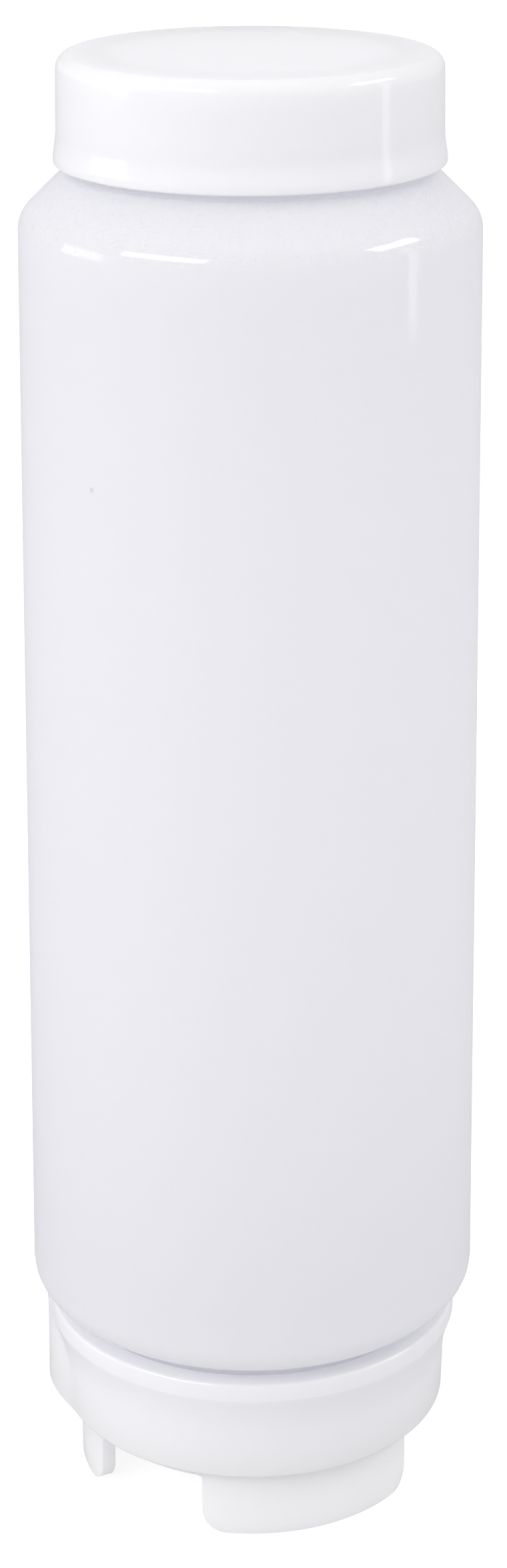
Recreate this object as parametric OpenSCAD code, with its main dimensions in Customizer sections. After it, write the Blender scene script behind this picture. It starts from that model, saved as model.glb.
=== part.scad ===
// Squeeze bottle for sauces that stands on its dispensing end.
// A straight translucent body has a threaded neck at each end. The refill cap closes the
// top neck. The dispensing cap closes the lower neck and holds a slit portion valve.
// A flip cap with three curved feet covers the valve, and the bottle stands on those feet.
// Z is up, the origin is on the ground on the bottle's axis, and the hinge is on -X.

/* [Bottle body] */
// Outer diameter of the straight body
body_d = 73; // [71:0.5:90]
// Height from the lower shoulder to the flat step under the refill cap
body_h = 188.1; // [110:0.1:240]
// Thickness of the squeezable wall
body_wall = 1.4; // [0.8:0.1:2]
// Thickness of both necks
neck_wall = 1.9; // [1.4:0.1:2.4]
// Radius of the lower shoulder
lower_shoulder_r = 4.6; // [2.5:0.1:7]
// Radius of the upper shoulder
upper_shoulder_r = 5.3; // [3:0.1:7]
// Height from the end of the straight wall to the step under the refill cap
shoulder_drop = 9.4; // [8:0.1:10.5]
// Angle that the upper shoulder turns in from the wall
shoulder_turn = 45; // [35:1:50]
// Radius between the upper shoulder and the step under the refill cap
step_round = 1.5; // [0.6:0.1:2]
// Radius at the root of each neck
neck_round = 0.9; // [0.5:0.1:1]

/* [Screw threads] */
// Rise of the thread in one turn
thread_pitch = 4.2; // [3.9:0.1:5]
// Height of the thread above its wall
thread_depth = 1.2; // [0.9:0.1:1.4]
// Width of the thread at its root
thread_root_w = 2.3; // [2:0.1:2.5]
// Width of the thread at its crest
thread_crest_w = 1.1; // [0.7:0.1:1.3]
// Turns of thread on each neck
neck_turns = 1.5; // [1:0.25:1.75]
// Turns of thread in each cap
cap_turns = 1.25; // [1:0.25:1.5]
// Radial clearance from a thread's crest to the wall that it faces
thread_gap = 0.4; // [0.3:0.05:0.6]
// Axial clearance between the loaded flanks
thread_play = 0.25; // [0.2:0.05:0.5]
// Distance from the end of the neck to its thread
thread_lead = 0.6; // [0.4:0.1:1]

/* [Refill cap] */
// Outer diameter at the top of the wall
refill_d = 60.6; // [59:0.1:62]
// Height of the refill cap
refill_h = 17.1; // [16:0.1:22]
// Gap between the shoulder step and the rim of the refill cap
refill_gap = 1.3; // [0.8:0.1:3]
// Radius of the rounded top edge
refill_corner = 2.3; // [1:0.1:3]
// How far the rim flares beyond the top of the wall
refill_flare = 0.6; // [0.2:0.1:0.8]
// Height over which the rim flares
refill_flare_h = 3.2; // [2:0.1:5]
// Thickness of the wall of both caps
cap_wall = 1.7; // [1.4:0.1:2]
// Thickness of the end wall of both caps
cap_end = 1.8; // [1.4:0.1:2.2]

/* [Dispensing cap] */
// Outer diameter at the lower rim
disp_d = 63.6; // [62.5:0.1:65]
// Height of the dispensing cap
disp_h = 17.65; // [16.5:0.05:22]
// Gap between the bead and the lower shoulder
disp_gap = 2.3; // [1:0.1:4]
// How far the bead stands out beyond the rim
bead_out = 1.9; // [1.4:0.1:2.4]
// Height of the bead's straight face
bead_h = 2.9; // [2:0.1:4]
// Height of the taper from the bead down to the wall
taper_h = 4; // [3:0.1:6]
// Radius that blends the taper into the wall below it
taper_round = 20; // [3:1:30]
// Draft of the wall from the rim to the taper
disp_draft = 0.4; // [0.1:0.1:0.6]
// Radius of the lower rim's edge
rim_round = 0.8; // [0.4:0.1:1.2]

/* [Cap seals] */
// Thickness of the flat seal rings
seal_t = 1.6; // [1:0.1:2]
// Clearance at the inner and outer edges of the seal rings
seal_gap = 0.2; // [0.15:0.05:0.4]
// Height of the ring that centres a seal in its cap
locator_h = 3; // [2.4:0.1:4]
// Thickness of the centring ring
locator_wall = 1.4; // [1:0.1:1.8]
// Clearance between the centring ring and the neck
locator_gap = 0.7; // [0.5:0.1:1.2]

/* [Portion valve] */
// Diameter of the opening in the end wall
valve_hole_d = 18; // [14:0.5:20]
// Width of the flange beyond the opening
valve_flange_w = 3; // [2.4:0.1:4]
// Thickness of the flange
valve_flange_t = 1.2; // [0.9:0.1:1.6]
// Thickness of the domed centre
valve_t = 0.8; // [0.5:0.1:1.1]
// Depth of the dome
valve_sag = 1; // [0.6:0.1:1.1]
// Length of each of the two crossed slits
slit_len = 9; // [5:0.5:12]
// Width of a slit
slit_w = 0.25; // [0.15:0.05:0.4]
// Thickness of the collar that holds the valve and its retainer
collar_wall = 1.7; // [1.2:0.1:2.2]
// Height of the retainer ring
retainer_h = 2.5; // [2:0.1:3.5]
// Height of the snap lip above the retainer
snap_h = 0.9; // [0.7:0.1:1.4]

/* [Flip cap] */
// How far the flip cap's edge stands in from the dispensing cap's rim
lid_inset = 2.95; // [2.4:0.05:3.6]
// Thickness of the flip cap's plate
lid_t = 1.7; // [1.4:0.1:2]
// Gap between the closed plate and the end wall
lid_gap = 0.15; // [0.1:0.05:0.3]
// Height of the feet below the plate
foot_h = 9.7; // [6:0.1:16]
// Thickness of the feet
foot_wall = 2.4; // [1.8:0.1:3]
// Angle that one foot spans
foot_span = 77; // [50:1:96]
// Radius of a foot's lower corners
foot_corner = 3.8; // [1.5:0.1:4.5]
// Width of the plug ring that closes the valve opening
plug_w = 2.1; // [1.6:0.1:3]
// Height of the plug ring above the plate
plug_h = 1.2; // [0.8:0.1:1.3]
// Clearance between the plug ring and the valve opening
plug_gap = 0.3; // [0.2:0.05:0.5]
// How far the thumb lip stands out
thumb_lip = 1.5; // [0.8:0.1:2]
// Angle that the thumb lip spans
thumb_span = 26; // [16:1:30]

/* [Hinge] */
// Diameter of the hinge pin
pin_d = 1.5; // [1.3:0.1:1.8]
// Running clearance of the pin, on the radius
pin_run = 0.05; // [0.03:0.01:0.08]
// Length of the hinge pin
pin_len = 13; // [12:0.5:13]
// Diameter of the flip cap's knuckle
knuckle_d = 3.6; // [3.2:0.1:3.8]
// Width of the knuckle
knuckle_w = 8; // [6:0.5:9]
// Clearance round the knuckle in its slot
hinge_gap = 0.3; // [0.2:0.05:0.4]
// Widest opening angle of the flip cap
open_angle = 170; // [120:5:175]
// How far the crown of the hinge lug stands out beyond the bead
lug_out = 0.7; // [0.5:0.1:1]
// Half angle over which the lug has its full height
lug_half = 7; // [6:0.5:10]
// Angle over which each flank of the lug fades into the wall
lug_fade = 24; // [18:1:28]

/* [Hidden] */
$fn = 96;
foot_count = 3;
flank_steps = 6;     // straight parts of each flank of the hinge lug
web_step = 0.3;      // step that the hinge web and thumb lip keep from the plate's faces
edge = 0.5;          // small edge breaks on the caps and necks
thread_step = 10;    // degrees between sections of a thread
thread_fade = 30;    // degrees over which a thread runs out at its ends
thread_sink = 0.4;   // how far a thread's root reaches into its wall
thread_dip = 0.15;   // how far a faded thread end lies below its wall

// Levels, from the ground up
lid_z = foot_h + lid_t;
rim_z = lid_z + lid_gap;
disp_in_z = rim_z + cap_end;
neck_lo_z = disp_in_z + seal_t;
disp_top_z = rim_z + disp_h;
base_z = disp_top_z + disp_gap;
step_z = base_z + body_h;
wall_top_z = step_z - shoulder_drop;
refill_z = step_z + refill_gap;
top_z = refill_z + refill_h;
refill_in_z = top_z - cap_end;
neck_hi_z = refill_in_z - seal_t;

// Radii that follow from the driving sizes
body_r = body_d / 2;
disp_r = disp_d / 2;
bead_r = disp_r + bead_out;
disp_bore_r = disp_r - cap_wall;
neck_lo_r = disp_bore_r - thread_depth - thread_gap;
refill_r = refill_d / 2;
refill_bore_r = refill_r - cap_wall;
neck_hi_r = refill_bore_r - thread_depth - thread_gap;
lid_r = disp_r - lid_inset;
hole_r = valve_hole_d / 2;
flange_r = hole_r + valve_flange_w;
collar_r = flange_r + hinge_gap;

// Hinge: the knuckle is in line with the bead and level with the lower rim
lug_r = bead_r + lug_out;
pin_r = pin_d / 2;
knuckle_r = knuckle_d / 2;
slot_r = knuckle_r + hinge_gap;
pin_x = bead_r - knuckle_r;
pin_z = rim_z + knuckle_r;
fill_r = neck_lo_r + thread_gap;
fill_z = pin_z + slot_r + 1.2;

// Points of an arc round centre c, in n steps
function arc(c, r, a0, a1, n) =
    [for (i = [0:n]) let (a = a0 + (a1 - a0) * i / n) c + r * [cos(a), sin(a)]];

// Points that round the corner at b, between a and c, to radius r in n steps
function rounded(a, b, c, r, n) =
    let (u = (a - b) / norm(a - b),
         v = (c - b) / norm(c - b),
         half = acos(u * v) / 2,
         centre = b + (u + v) / norm(u + v) * r / sin(half),
         first = b + u * r / tan(half) - centre,
         last = b + v * r / tan(half) - centre,
         a0 = atan2(first[1], first[0]),
         turn = (atan2(last[1], last[0]) - a0 + 540) % 360 - 180)
    arc(centre, r, a0, a0 + turn, n);

// A point turned about the origin of its plane
function turned(p, a) = [p[0] * cos(a) - p[1] * sin(a), p[0] * sin(a) + p[1] * cos(a)];

// Radius at which the sloped shoulder reaches height z, inset from the outer face by w
function slope_r(z, w) =
    let (r = upper_shoulder_r - w)
    body_r - upper_shoulder_r + r * cos(shoulder_turn)
    - (z - wall_top_z - r * sin(shoulder_turn)) * tan(shoulder_turn);

// Height at which the outer face of the sloped shoulder has radius r
function slope_h(r) = step_z - (r - slope_r(step_z, 0)) / tan(shoulder_turn);

// Half the gap between two threads' centre lines while their flanks are loaded
function flank_offset() =
    thread_root_w + thread_play
    - (thread_root_w - thread_crest_w) / thread_depth * (thread_depth + thread_gap) / 2;

// Height of the neck thread's centre line below the neck's end, at angle a
function helix_z(a) = thread_pitch * a / 360 - thread_lead - thread_root_w / 2;

// Section of a thread in the radius and height plane, always counterclockwise
function thread_section(root, crest, root_h, crest_h) =
    crest > root
        ? [[root, -root_h], [crest, -crest_h], [crest, crest_h], [root, root_h]]
        : [[root, root_h], [crest, crest_h], [crest, -crest_h], [root, -root_h]];

// A thread swept from angle a0 to a1 on a wall of radius wall_r.
// side is 1 for a thread that stands outwards and -1 for one that stands inwards.
// It fades into the wall at both ends.
module thread(wall_r, side, a0, a1, shift) {
    steps = round((a1 - a0) / thread_step);
    rings = [for (i = [0:steps])
        let (a = a0 + (a1 - a0) * i / steps,
             full = min(1, (a - a0) / thread_fade, (a1 - a) / thread_fade),
             crest = wall_r + side * ((thread_depth + thread_dip) * full - thread_dip),
             section = thread_section(wall_r - side * thread_sink, crest,
                                      thread_root_w / 2, thread_crest_w / 2))
        for (p = section) [p[0] * cos(a), p[0] * sin(a), p[1] + helix_z(a) - shift]];
    sides = [for (i = [0:steps - 1], j = [0:3])
        let (k = (j + 1) % 4, m = 4 * i, n = 4 * i + 4)
        each [[m + j, m + k, n + k], [m + j, n + k, n + j]]];
    last = 4 * steps;
    polyhedron(points = rings,
               faces = concat(sides, [[3, 2, 1, 0], [last, last + 1, last + 2, last + 3]]),
               convexity = 8);
}

// Thread on a neck whose end is at height 0 and points up
module neck_thread(r) {
    thread(r, 1, -360 * neck_turns, 0, 0);
}

// Matching thread in a cap of bore radius r, whose mouth lies depth below the neck's end
module cap_thread(r, depth) {
    mouth_z = -depth + 2 * edge + thread_root_w / 2;
    start = (mouth_z + flank_offset() - helix_z(0)) * 360 / thread_pitch;
    first = thread_step * ceil(start / thread_step);
    thread(r, -1, first, first + 360 * cap_turns, flank_offset());
}

// Places a feature of the top end, modelled with the neck pointing up, at the lower end
module at_lower_end(z) {
    translate([0, 0, z]) rotate([180, 0, 0]) children();
}

// Blow-moulded body: two necks, a rounded lower shoulder and a sloped upper shoulder
module bottle_body() {
    lower_c = [body_r - lower_shoulder_r, base_z + lower_shoulder_r];
    upper_c = [body_r - upper_shoulder_r, wall_top_z];
    hi_bore = neck_hi_r - neck_wall;
    lo_bore = neck_lo_r - neck_wall;
    outer = concat(
        [[neck_lo_r - edge, neck_lo_z], [neck_lo_r, neck_lo_z + edge]],
        rounded([neck_lo_r, neck_lo_z], [neck_lo_r, base_z], [body_r, base_z], neck_round, 3),
        arc(lower_c, lower_shoulder_r, -90, 0, 8),
        arc(upper_c, upper_shoulder_r, 0, shoulder_turn, 6),
        rounded([body_r, slope_h(body_r)], [slope_r(step_z, 0), step_z], [0, step_z],
                step_round, 4),
        rounded([body_r, step_z], [neck_hi_r, step_z], [neck_hi_r, neck_hi_z], neck_round, 3),
        [[neck_hi_r, neck_hi_z - edge], [neck_hi_r - edge, neck_hi_z]]);
    inner = concat(
        [[hi_bore, neck_hi_z], [hi_bore, step_z - body_wall],
         [slope_r(step_z - body_wall, body_wall), step_z - body_wall]],
        arc(upper_c, upper_shoulder_r - body_wall, shoulder_turn, 0, 6),
        arc(lower_c, lower_shoulder_r - body_wall, 0, -90, 6),
        [[lo_bore, base_z + body_wall], [lo_bore, neck_lo_z]]);
    color("aliceblue", 0.6)
    union() {
        rotate_extrude() polygon(concat(outer, inner));
        translate([0, 0, neck_hi_z]) neck_thread(neck_hi_r);
        at_lower_end(neck_lo_z) neck_thread(neck_lo_r);
    }
}

// Wide screw cap for refilling, with a flared rim and a ring that centres its seal
module refill_cap() {
    loc_r = neck_hi_r - neck_wall - locator_gap;
    profile = concat(
        [[0, refill_in_z], [loc_r - locator_wall, refill_in_z],
         [loc_r - locator_wall, refill_in_z - locator_h], [loc_r, refill_in_z - locator_h],
         [loc_r, refill_in_z], [refill_bore_r - edge, refill_in_z],
         [refill_bore_r, refill_in_z - edge], [refill_bore_r, refill_z + edge],
         [refill_bore_r + edge, refill_z], [refill_r + refill_flare - edge / 2, refill_z],
         [refill_r + refill_flare, refill_z + edge / 2],
         [refill_r + refill_flare, refill_z + 2 * edge],
         [refill_r + refill_flare / 4, refill_z + refill_flare_h]],
        arc([refill_r - refill_corner, top_z - refill_corner], refill_corner, 0, 90, 8),
        [[0, top_z]]);
    color("white")
    union() {
        rotate_extrude() polygon(profile);
        translate([0, 0, neck_hi_z]) cap_thread(refill_bore_r, neck_hi_z - refill_z);
    }
}

// Flat ring with broken edges, from radius r_in to r_out and from height z up
module seal_ring(r_in, r_out, z) {
    brk = seal_t / 6;
    rotate_extrude() polygon([[r_in + brk, z], [r_out - brk, z], [r_out, z + brk],
        [r_out, z + seal_t - brk], [r_out - brk, z + seal_t], [r_in + brk, z + seal_t],
        [r_in, z + seal_t - brk], [r_in, z + brk]]);
}

// Silicone ring between the top neck and the refill cap
module refill_cap_seal() {
    color("gainsboro")
    seal_ring(neck_hi_r - neck_wall - locator_gap + seal_gap,
              refill_bore_r - edge - seal_gap, neck_hi_z);
}

// Outline of the hinge lug seen from above, pointing along -X
module lug_plan() {
    flank = [for (i = [0:flank_steps])
        let (share = i / flank_steps,
             a = lug_half + lug_fade * share,
             r = lug_r + (disp_r - lug_r) * share)
        r * [-cos(a), sin(a)]];
    crown = flank[0];
    foot = flank[flank_steps];
    tip = [-lug_r - 1, crown[1] / 2];
    half = concat(flank, [[-fill_r * 0.8, foot[1]]]);
    back = [for (i = [len(half) - 1:-1:0]) [half[i][0], -half[i][1]]];
    polygon(concat(half, back, [[tip[0], -tip[1]], tip]));
}

// Lug on the wall that carries the hinge pin, from the lower rim up to the bead's top
module hinge_lug() {
    profile = concat(
        [[fill_r, rim_z + edge]],
        arc([lug_r - rim_round, rim_z + rim_round], rim_round, -90, 0, 4),
        arc([lug_r - edge, disp_top_z - edge], edge, 0, 90, 3),
        [[disp_bore_r + edge, disp_top_z], [disp_bore_r + edge, fill_z], [fill_r, fill_z]]);
    intersection() {
        rotate_extrude() polygon(profile);
        linear_extrude(disp_top_z + edge) lug_plan();
    }
}

// Points where the web leaves the knuckle and meets the plate's underside, from the pin
function web_low() = knuckle_r * [cos(-120), sin(-120)];
function web_foot() = [knuckle_r + 0.5, foot_h + web_step - pin_z];

// Space that the knuckle and its web sweep in the lug, in the plane of the hinge
module hinge_slot_plan() {
    reach = 4 * knuckle_r;
    ceiling_a = turned(web_low(), -open_angle) * slot_r / knuckle_r;
    ceiling_b = turned(web_foot(), -open_angle);
    dir = (ceiling_b - turned(web_low(), -open_angle))
        / norm(ceiling_b - turned(web_low(), -open_angle));
    polygon([[slot_r, 0], ceiling_a, ceiling_a + reach * dir,
             [-2 * reach, -reach], [slot_r, -reach]]);
}

// Places a flat shape in the plane across the hinge, centred on the pin
module across_hinge(w) {
    translate([-pin_x, 0, pin_z]) rotate([90, 0, 0]) linear_extrude(w, center = true) children();
}

// Screw cap of the dispensing end, with bead, taper, valve collar and hinge lug.
// The pin's bore is open towards +Y and blind towards -Y.
module dispensing_cap() {
    loc_r = neck_lo_r - neck_wall - locator_gap;
    lip_z = disp_in_z + valve_flange_t + retainer_h + hinge_gap / 2;
    lip_r = collar_r - hinge_gap;
    bead_z = disp_top_z - bead_h;
    profile = concat(
        [[hole_r, rim_z]],
        arc([disp_r - rim_round, rim_z + rim_round], rim_round, -90, 0, 4),
        rounded([disp_r, rim_z], [disp_r + disp_draft, bead_z - taper_h], [bead_r, bead_z],
                taper_round, 5),
        [[bead_r, bead_z]],
        arc([bead_r - edge, disp_top_z - edge], edge, 0, 90, 3),
        [[disp_bore_r + edge, disp_top_z], [disp_bore_r, disp_top_z - edge],
         [disp_bore_r, disp_in_z + edge], [disp_bore_r - edge, disp_in_z],
         [loc_r, disp_in_z], [loc_r, disp_in_z + locator_h],
         [loc_r - locator_wall, disp_in_z + locator_h], [loc_r - locator_wall, disp_in_z],
         [collar_r + collar_wall, disp_in_z], [collar_r + collar_wall, lip_z + snap_h],
         [lip_r, lip_z + snap_h], [lip_r, lip_z], [collar_r, lip_z],
         [collar_r, disp_in_z], [hole_r, disp_in_z]]);
    color("whitesmoke")
    difference() {
        union() {
            rotate_extrude() polygon(profile);
            hinge_lug();
            at_lower_end(neck_lo_z) cap_thread(disp_bore_r, disp_top_z - neck_lo_z);
        }
        across_hinge(knuckle_w + 2 * hinge_gap) hinge_slot_plan();
        translate([-pin_x, 0, pin_z]) rotate([90, 0, 0])
            cylinder(r = slot_r, h = knuckle_w + 2 * hinge_gap, center = true);
        translate([-pin_x, body_r, pin_z]) rotate([90, 0, 0])
            cylinder(r = pin_r + pin_run, h = body_r + pin_len / 2 + pin_run);
    }
}

// Silicone ring between the lower neck and the dispensing cap
module dispensing_cap_seal() {
    color("gainsboro")
    seal_ring(neck_lo_r - neck_wall - locator_gap + seal_gap, fill_r - seal_gap, disp_in_z);
}

// Silicone valve: a flange and a dome that bulges outwards, cut by two crossed slits
module portion_valve() {
    dome_r = hole_r - 2 * plug_gap;
    ball_r = (dome_r * dome_r + valve_sag * valve_sag) / (2 * valve_sag);
    half = asin(dome_r / ball_r);
    centre = [0, disp_in_z - valve_sag + ball_r];
    profile = concat(
        arc(centre, ball_r, -90, -90 + half, 6),
        [[flange_r, disp_in_z], [flange_r, disp_in_z + valve_flange_t],
         [dome_r, disp_in_z + valve_flange_t]],
        arc(centre, ball_r - valve_t, -90 + half - 1, -90, 6));
    color("lightcoral")
    difference() {
        rotate_extrude() polygon(profile);
        for (a = [45, 135])
            translate([0, 0, disp_in_z]) rotate([0, 0, a])
                cube([slit_len, slit_w, 4 * valve_sag + valve_t], center = true);
    }
}

// Ring that snaps into the collar and clamps the valve's flange
module valve_retainer() {
    z = disp_in_z + valve_flange_t;
    out_r = collar_r - hinge_gap / 3;
    in_r = hole_r - plug_gap;
    color("white")
    rotate_extrude() polygon([[in_r, z], [out_r, z], [out_r, z + retainer_h - edge],
        [out_r - edge, z + retainer_h], [in_r + retainer_h / 2 + edge, z + retainer_h],
        [in_r, z + retainer_h / 2]]);
}

// Gap between two feet, centred on +X, with the rounded lower corners of the feet beside it
module foot_gap() {
    half = 180 / foot_count - foot_span / 2;
    in_r = lid_r - foot_wall - 1;
    rotate([0, 0, -half]) rotate_extrude(angle = 2 * half)
        translate([in_r, -1]) square([foot_wall + 3, foot_h + 1]);
    for (side = [-1, 1])
        rotate([0, 0, side * half]) difference() {
            translate([in_r, -foot_corner, -1])
                cube([foot_wall + 3, 2 * foot_corner, foot_corner + 1]);
            translate([in_r - 1, side * foot_corner, foot_corner]) rotate([0, 90, 0])
                cylinder(r = foot_corner, h = foot_wall + 6);
        }
}

// Flip cap: a plate with a plug ring, three feet, a thumb lip and the hinge knuckle
module flip_cap() {
    plug_r = hole_r - plug_gap;
    floor_h = plug_h / 2;
    dimple_z = foot_h + lid_t / 2 + floor_h / 2;
    under_z = foot_h + web_step;
    foot_in_r = lid_r - foot_wall;
    web_x = pin_x - foot_in_r;
    section = [[0, dimple_z], [plug_r - plug_w, dimple_z], [plug_r - plug_w + edge, under_z],
               [foot_in_r - edge, under_z], [foot_in_r, foot_h - edge], [foot_in_r, 0],
               [lid_r, 0], [lid_r, lid_z - edge / 2], [lid_r - edge / 2, lid_z],
               [plug_r, lid_z], [plug_r, lid_z + plug_h - edge / 2],
               [plug_r - edge / 2, lid_z + plug_h], [plug_r - plug_w, lid_z + plug_h],
               [plug_r - plug_w, lid_z + floor_h], [0, lid_z + floor_h]];
    color("gainsboro")
    difference() {
        union() {
            difference() {
                rotate_extrude() polygon(section);
                for (i = [0:foot_count - 1]) rotate([0, 0, i * 360 / foot_count]) foot_gap();
            }
            rotate([0, 0, -thumb_span / 2]) rotate_extrude(angle = thumb_span)
                translate([lid_r - 1, under_z]) square([1 + thumb_lip, lid_t - 2 * web_step]);
            across_hinge(knuckle_w) polygon([web_low(), web_foot(),
                [web_x, under_z - pin_z], [web_x, lid_z - web_step - pin_z],
                [knuckle_r, lid_z - web_step - pin_z], [knuckle_r, 0], [0, 0]]);
            translate([-pin_x, 0, pin_z]) rotate([90, 0, 0])
                cylinder(r = knuckle_r, h = knuckle_w, center = true);
        }
        translate([-pin_x, 0, pin_z]) rotate([90, 0, 0])
            cylinder(r = pin_r + pin_run, h = 2 * knuckle_w, center = true);
    }
}

// Pin that joins the flip cap to the lug
module hinge_pin() {
    tip = pin_r / 3;
    color("silver")
    translate([-pin_x, 0, pin_z]) rotate([90, 0, 0]) translate([0, 0, -pin_len / 2])
        rotate_extrude() polygon([[0, 0], [pin_r - tip, 0], [pin_r, tip],
            [pin_r, pin_len - tip], [pin_r - tip, pin_len], [0, pin_len]]);
}

bottle_body();
refill_cap();
refill_cap_seal();
dispensing_cap();
dispensing_cap_seal();
portion_valve();
valve_retainer();
flip_cap();
hinge_pin();
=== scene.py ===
"""Looks of an inverted squeeze bottle for sauces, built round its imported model."""
import math

import bmesh
import bpy
from mathutils import Matrix, Vector


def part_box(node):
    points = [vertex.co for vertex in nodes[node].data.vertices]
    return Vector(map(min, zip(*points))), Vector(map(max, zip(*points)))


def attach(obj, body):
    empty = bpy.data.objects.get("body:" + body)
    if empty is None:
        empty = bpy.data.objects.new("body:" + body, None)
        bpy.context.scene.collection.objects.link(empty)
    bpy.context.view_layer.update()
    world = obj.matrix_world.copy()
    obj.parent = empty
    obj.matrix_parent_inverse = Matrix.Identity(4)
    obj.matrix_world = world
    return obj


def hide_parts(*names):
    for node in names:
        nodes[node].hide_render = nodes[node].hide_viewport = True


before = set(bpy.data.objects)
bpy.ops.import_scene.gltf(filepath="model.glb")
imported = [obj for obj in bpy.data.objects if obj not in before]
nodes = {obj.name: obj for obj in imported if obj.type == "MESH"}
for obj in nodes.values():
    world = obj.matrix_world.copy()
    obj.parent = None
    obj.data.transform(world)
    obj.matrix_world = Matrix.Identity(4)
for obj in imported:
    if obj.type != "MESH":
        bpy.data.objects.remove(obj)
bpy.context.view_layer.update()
scene = bpy.context.scene

# Camera
# The photograph looks down on the bottle from a little more than its own height, with the
# lens raised against the picture, which keeps the sides of the bottle nearly upright.
PHOTO_W = 760
PHOTO_H = 2351
MM = 0.001
camera_turn = math.radians(8)
camera_reach = 526.6 * MM
camera_height = 316.3 * MM
camera_dip = 0.2151
camera_roll = -0.0019
lens_px = 5125.4
centre_px = (375.5, 423.0)
SENSOR = 36.0
CLIP_START = 0.01
CLIP_END = 50

camera_data = bpy.data.cameras.new("camera")
camera_data.sensor_width = SENSOR
camera_data.lens = lens_px * SENSOR / PHOTO_H
camera_data.shift_x = (PHOTO_W / 2 - centre_px[0]) / PHOTO_H
camera_data.shift_y = (centre_px[1] - PHOTO_H / 2) / PHOTO_H
camera_data.clip_start = CLIP_START
camera_data.clip_end = CLIP_END
camera = bpy.data.objects.new("camera", camera_data)
scene.collection.objects.link(camera)
camera.matrix_world = (
    Matrix.Rotation(camera_turn, 4, "Z")
    @ Matrix.Translation((0, -camera_reach, camera_height))
    @ Matrix.Rotation(math.pi / 2 - camera_dip, 4, "X")
    @ Matrix.Rotation(camera_roll, 4, "Z")
)
scene.camera = camera
scene.view_settings.view_transform = "Standard"
# Light is followed far enough to come back out of the translucent walls and the gaps.
scene.cycles.max_bounces = 24
scene.cycles.diffuse_bounces = 16
scene.cycles.transmission_bounces = 16


# Studio
# A pale floor and a white room with four lamps. A large softbox at the left of the camera and a
# smaller one at its right draw the crescents on the bottle's shoulder, a low lamp at the left
# fills the lower part, and a strip at the right draws the thin upright line on the body.
class Sock:
    """One output of a node. Python's operators on it add Math nodes to its tree."""

    def __init__(self, tree, socket):
        self.tree = tree
        self.socket = socket

    def math(self, operation, *others):
        return add(self.tree, "ShaderNodeMath", {"operation": operation}, self, *others)

    def __add__(self, other):
        return self.math("ADD", other)

    def __sub__(self, other):
        return self.math("SUBTRACT", other)

    def __mul__(self, other):
        return self.math("MULTIPLY", other)

    def __truediv__(self, other):
        return self.math("DIVIDE", other)

    def __mod__(self, other):
        return self.math("FLOORED_MODULO", other)

    def __abs__(self):
        return self.math("ABSOLUTE")

    def math_after(self, operation, other):
        return add(self.tree, "ShaderNodeMath", {"operation": operation}, other, self)

    def __rsub__(self, other):
        return self.math_after("SUBTRACT", other)

    def __rtruediv__(self, other):
        return self.math_after("DIVIDE", other)

    def __rmod__(self, other):
        return self.math_after("FLOORED_MODULO", other)

    __radd__ = __add__
    __rmul__ = __mul__

    def out(self, name):
        return Sock(self.tree, self.socket.node.outputs[name])


def add(tree, kind, settings=None, *values, **named):
    """Adds a node, sets it up, fills its sockets with values or links, and gives its output."""
    made = tree.nodes.new(kind)
    for key, value in (settings or {}).items():
        if key == "stops":
            ramp = made.color_ramp.elements
            while len(ramp) < len(value):
                ramp.new(0.5)
            for stop, (place, tone) in zip(ramp, value):
                stop.position = place
                stop.color = (*tone, 1)
        else:
            setattr(made, key, value)
    filled = [(made.inputs[i], v) for i, v in enumerate(values)]
    filled += [(made.inputs[k.replace("_", " ")], v) for k, v in named.items()]
    for socket, value in filled:
        if isinstance(value, Sock):
            tree.links.new(value.socket, socket)
        elif value is not None:
            socket.default_value = value
    return Sock(tree, made.outputs[0]) if made.outputs else None


def grey(level):
    """A grey as a colour socket takes it."""
    return (level, level, level, 1)


def material(name):
    """An empty material and its tree."""
    made = bpy.data.materials.new(name)
    made.use_nodes = True
    made.node_tree.nodes.clear()
    return made, made.node_tree


ROOM_LEVEL = 0.94
world = bpy.data.worlds.new("white_room")
world.use_nodes = True
world.node_tree.nodes.clear()
ray = add(world.node_tree, "ShaderNodeLightPath")
seen = ray.out("Is Camera Ray").math("MAXIMUM", ray.out("Is Transmission Ray"))
room_light = add(world.node_tree, "ShaderNodeBackground", None, grey(1),
                 seen * (1 - ROOM_LEVEL) + ROOM_LEVEL)
add(world.node_tree, "ShaderNodeOutputWorld", None, room_light)
scene.world = world

FLOOR_HALF = 6.0
FLOOR_GLOW = 0.60      # light that the floor gives to the bottle by itself
FLOOR_TONE = 0.18      # tone in which it throws back the lamps' light
FLOOR_LIFT = 0.74      # glow of the floor as the camera sees it
SHADOW_SHARE = 0.34    # tone of the floor under the shadow, as the camera sees it
floor_paint, tree = material("pale_floor")
ray = add(tree, "ShaderNodeLightPath")
lit = add(tree, "ShaderNodeAddShader", None,
          add(tree, "ShaderNodeBsdfDiffuse", None, grey(FLOOR_TONE)),
          add(tree, "ShaderNodeEmission", None, grey(1), FLOOR_GLOW))
dim = add(tree, "ShaderNodeBsdfDiffuse", None, grey(SHADOW_SHARE))
lift = add(tree, "ShaderNodeEmission", None, grey(1), FLOOR_LIFT)
bright = add(tree, "ShaderNodeAddShader", None, dim, lift)
shown = add(tree, "ShaderNodeMixShader", None, ray.out("Is Camera Ray"), lit, bright)
under = add(tree, "ShaderNodeNewGeometry").out("Backfacing")
clear = add(tree, "ShaderNodeBsdfTransparent")
add(tree, "ShaderNodeOutputMaterial", None,
    add(tree, "ShaderNodeMixShader", None, under, shown, clear))
floor_mesh = bpy.data.meshes.new("floor")
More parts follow.
